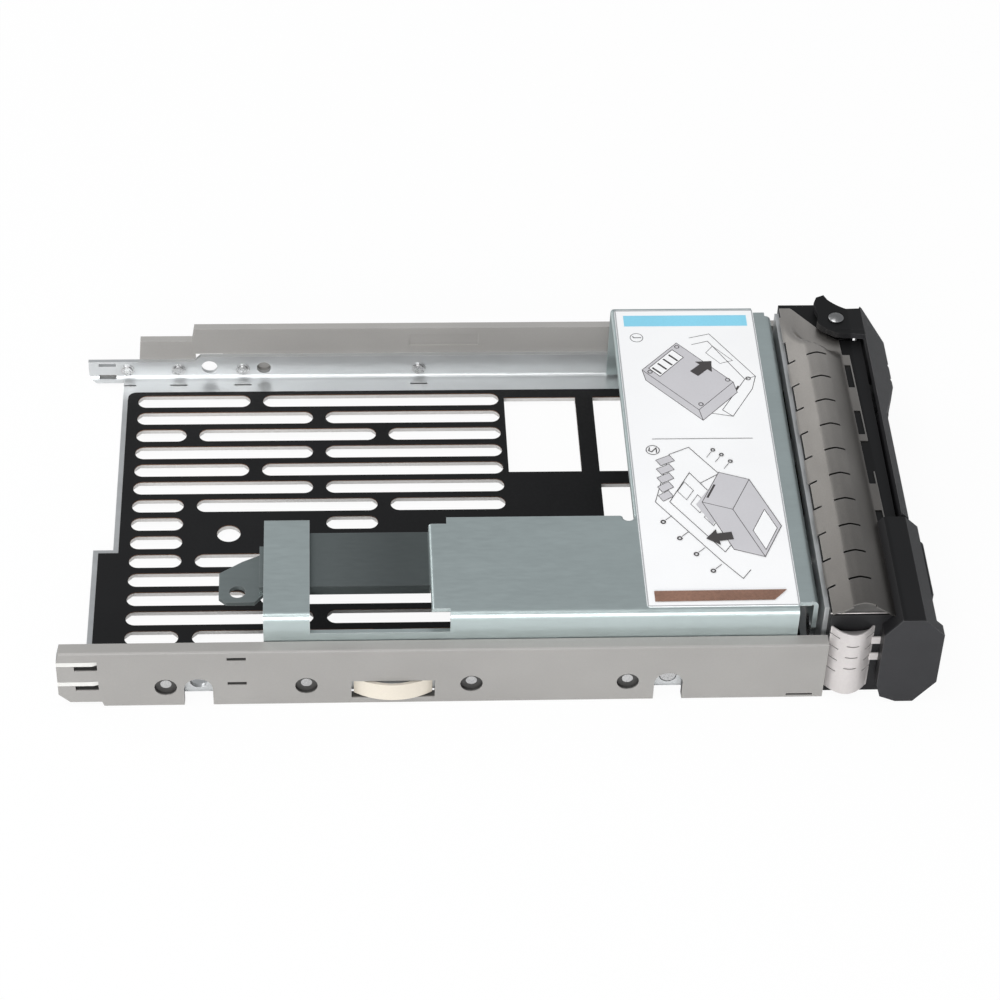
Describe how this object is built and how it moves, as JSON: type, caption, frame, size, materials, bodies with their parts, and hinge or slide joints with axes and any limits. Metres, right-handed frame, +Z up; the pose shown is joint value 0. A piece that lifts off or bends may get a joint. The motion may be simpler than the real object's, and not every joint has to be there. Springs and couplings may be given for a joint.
{
  "type": "hot swap drive caddy",
  "caption": "Hot swap drive caddy: slotted steel tray between plastic rails, adapter bracket, and a front frame with a swing lever and release button.",
  "frame": {"origin": "on the rest plane, midway between the two rails and midway along the whole length", "axes": "+X from the connector end to the lever end, +Y towards the hinge side, +Z up"},
  "size_m": [0.19, 0.11, 0.0276],
  "materials": {
    "rail_plastic": "satin moulded",
    "tray_steel": "zinc plated",
    "film": "matt black film",
    "bracket_steel": "zinc plated, blue-grey",
    "label": "matt",
    "charcoal_plastic": "fine texture",
    "gasket_steel": "satin",
    "clear_pipe": "clear",
    "damper_plastic": "smooth",
    "fastener_steel": "plain"
  },
  "bodies": {
    "caddy": {"tray_pan": "tray_steel", "floor_film": "film", "near_rail": "rail_plastic", "far_rail": "rail_plastic", "near_rail_rivets": "fastener_steel", "far_rail_rivets": "fastener_steel", "upper_light_pipe": "clear_pipe", "lower_light_pipe": "clear_pipe", "near_damper": "damper_plastic", "front_frame": "charcoal_plastic", "frame_screws": "fastener_steel", "top_gasket": "gasket_steel", "near_gasket": "gasket_steel", "lever_pin": "fastener_steel", "button_spring": "fastener_steel", "adapter_bracket": "bracket_steel", "bracket_studs": "fastener_steel", "bracket_label": "label"},
    "lever": {"lever": "charcoal_plastic"},
    "button": {"release_button": "charcoal_plastic"}
  },
  "joints": [
    {"name": "lever_swing", "type": "hinge", "parent": "caddy", "child": "lever", "pos_m": [0.0832, 0.043, 0.0132], "axis": [0, 0, 1], "range_deg": [0, 60]},
    {"name": "button_press", "type": "slide", "parent": "caddy", "child": "button", "axis": [-1, 0, 0], "range_m": [0, 0.0018], "stiffness_N_per_m": 300, "springref_m": -0.002, "deforming": ["button_spring"]}
  ]
}
